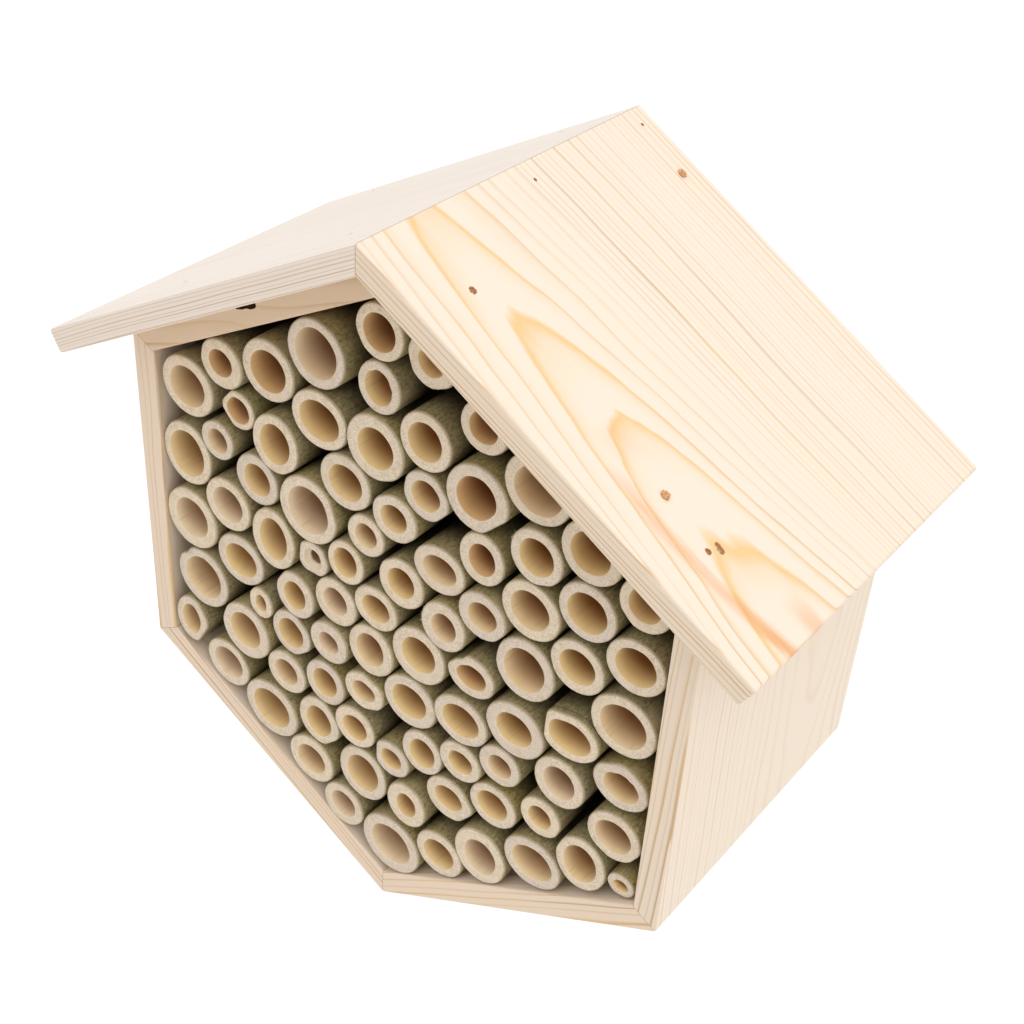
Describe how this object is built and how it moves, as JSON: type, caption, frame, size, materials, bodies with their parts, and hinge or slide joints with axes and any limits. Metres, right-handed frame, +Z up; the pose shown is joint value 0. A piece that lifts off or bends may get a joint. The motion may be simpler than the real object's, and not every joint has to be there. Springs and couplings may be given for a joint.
{
  "type": "insect hotel",
  "caption": "Wall-hung hexagonal insect hotel: a mitred pine frame packed with open bamboo tubes, under a two-board pine roof, with a swinging hanging ring on its back.",
  "frame": {"origin": "apex of the hexagonal frame on its back plane, where the frame, the two roof boards and the wall meet", "axes": "+X right as seen from the front, +Y back into the wall that it hangs on, +Z up"},
  "size_m": [0.2106, 0.1056, 0.2077],
  "materials": {
    "frame_pine": "planed, unfinished",
    "roof_pine": "planed, unfinished",
    "back_plywood": "sanded plywood",
    "bamboo": "sawn ends, natural skin",
    "nail_steel": "dull bright steel",
    "hanger_steel": "zinc plated"
  },
  "bodies": {
    "hotel": {"wall_right": "frame_pine", "wall_upper_right": "frame_pine", "wall_upper_left": "frame_pine", "wall_left": "frame_pine", "wall_lower_left": "frame_pine", "wall_lower_right": "frame_pine", "roof_right": "roof_pine", "roof_left": "roof_pine", "back_panel": "back_plywood", "bamboo_pair_01": "bamboo", "bamboo_pair_02": "bamboo", "bamboo_pair_03": "bamboo", "bamboo_pair_04": "bamboo", "bamboo_pair_05": "bamboo", "bamboo_pair_06": "bamboo", "bamboo_pair_07": "bamboo", "bamboo_pair_08": "bamboo", "bamboo_pair_09": "bamboo", "bamboo_pair_10": "bamboo", "bamboo_pair_11": "bamboo", "bamboo_pair_12": "bamboo", "bamboo_pair_13": "bamboo", "bamboo_pair_14": "bamboo", "bamboo_pair_15": "bamboo", "bamboo_pair_16": "bamboo", "bamboo_pair_17": "bamboo", "bamboo_pair_18": "bamboo", "bamboo_pair_19": "bamboo", "bamboo_pair_20": "bamboo", "bamboo_pair_21": "bamboo", "bamboo_pair_22": "bamboo", "bamboo_pair_23": "bamboo", "bamboo_pair_24": "bamboo", "bamboo_pair_25": "bamboo", "bamboo_pair_26": "bamboo", "bamboo_pair_27": "bamboo", "bamboo_pair_28": "bamboo", "bamboo_pair_29": "bamboo", "bamboo_pair_30": "bamboo", "bamboo_pair_31": "bamboo", "bamboo_pair_32": "bamboo", "bamboo_pair_33": "bamboo", "bamboo_pair_34": "bamboo", "bamboo_pair_35": "bamboo", "bamboo_pair_36": "bamboo", "bamboo_pair_37": "bamboo", "bamboo_pair_38": "bamboo", "bamboo_pair_39": "bamboo", "bamboo_pair_40": "bamboo", "bamboo_pair_41": "bamboo", "bamboo_pair_42": "bamboo", "bamboo_pair_43": "bamboo", "roof_brads_right": "nail_steel", "roof_brads_left": "nail_steel", "ridge_pins": "nail_steel", "hanger_strap": "hanger_steel", "hanger_screws": "hanger_steel"},
    "ring": {"hanger_ring": "hanger_steel"}
  },
  "joints": [
    {"name": "hanger_ring_swing", "type": "hinge", "parent": "hotel", "child": "ring", "pos_m": [0, -0.00605, -0.03], "axis": [1, 0, 0], "range_deg": [0, 180]}
  ]
}
